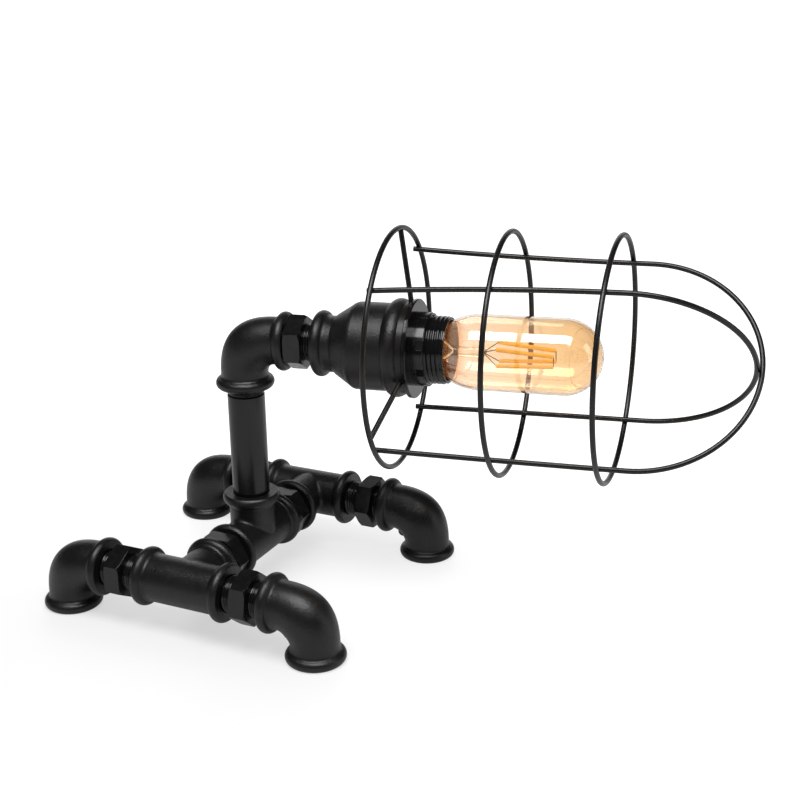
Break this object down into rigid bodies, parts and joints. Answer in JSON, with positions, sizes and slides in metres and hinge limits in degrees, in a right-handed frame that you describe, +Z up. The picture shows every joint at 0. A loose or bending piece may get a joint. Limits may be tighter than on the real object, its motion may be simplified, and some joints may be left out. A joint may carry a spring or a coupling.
{
  "type": "industrial pipe table lamp",
  "caption": "Table lamp built from black iron pipe fittings: H-shaped base on elbow feet, upright pipe, swivelling head with a wire cage round a tubular filament bulb.",
  "frame": {"origin": "on the table top, under the axis of the riser pipe", "axes": "+X along the two foot bars, towards the side the head points to; +Y along the spine, towards the back; +Z up"},
  "size_m": [0.3797, 0.1893, 0.219],
  "materials": {
    "cast_fitting": "satin black painted casting",
    "nipple": "satin black",
    "pipe": "smooth satin black",
    "cage_wire": "satin black",
    "lampholder": "gloss black moulding",
    "shade_ring": "gloss black moulding",
    "porcelain": "glazed white insulator",
    "brass": "drawn, bright",
    "steel_screw": "plated",
    "bulb_glass": "amber tinted, thin",
    "stem_glass": "clear",
    "bulb_cap": "bright",
    "black_glass": "gloss",
    "solder": "dull solder",
    "filament": "matte yellow coating",
    "lead_wire": "dull wire"
  },
  "bodies": {
    "base": {"foot_elbow_front_left": "cast_fitting", "foot_elbow_front_right": "cast_fitting", "foot_elbow_back_left": "cast_fitting", "foot_elbow_back_right": "cast_fitting", "side_tee_front": "cast_fitting", "side_tee_back": "cast_fitting", "centre_tee": "cast_fitting", "bar_nipple_front_left": "nipple", "bar_nipple_front_right": "nipple", "bar_nipple_back_left": "nipple", "bar_nipple_back_right": "nipple", "spine_nipple_front": "nipple", "spine_nipple_back": "nipple", "riser_pipe": "pipe"},
    "head": {"top_elbow": "cast_fitting", "head_nipple": "nipple", "bell_reducer": "cast_fitting", "lampholder_skirt": "lampholder", "lampholder_cap": "lampholder", "lampholder_insert": "porcelain", "screw_shell": "brass", "centre_contact": "brass", "terminal_blocks": "brass", "terminal_screws": "steel_screw"},
    "shade_ring": {"shade_ring": "shade_ring"},
    "cage": {"cage_collar": "cage_wire", "cage_spokes": "cage_wire", "cage_hoop_rear": "cage_wire", "cage_hoop_middle": "cage_wire", "cage_hoop_front": "cage_wire", "cage_wire_outer": "cage_wire", "cage_wire_inner": "cage_wire"},
    "bulb": {"bulb_glass": "bulb_glass", "bulb_cap": "bulb_cap", "bulb_insulator": "black_glass", "bulb_contact": "solder", "bulb_stem": "stem_glass", "filaments": "filament", "lead_wires": "lead_wire"}
  },
  "joints": [
    {"name": "head_swivel", "type": "hinge", "parent": "base", "child": "head", "pos_m": [0, 0, 0.1172], "axis": [0, 0, 1], "range_deg": [-99.7, 80.3]},
    {"name": "shade_ring_unscrew", "type": "slide", "parent": "head", "child": "shade_ring", "axis": [0.9856, 0.1685, 0.014], "range_m": [0, 0.014]},
    {"name": "cage_slide", "type": "slide", "parent": "head", "child": "cage", "axis": [0.9856, 0.1685, 0.014], "range_m": [0, 0.014]},
    {"name": "bulb_unscrew", "type": "slide", "parent": "head", "child": "bulb", "axis": [0.9856, 0.1685, 0.014], "range_m": [0, 0.02]}
  ],
  "couplings": [
    {"joint": "cage_slide", "follows": "shade_ring_unscrew", "ratio": 1}
  ]
}
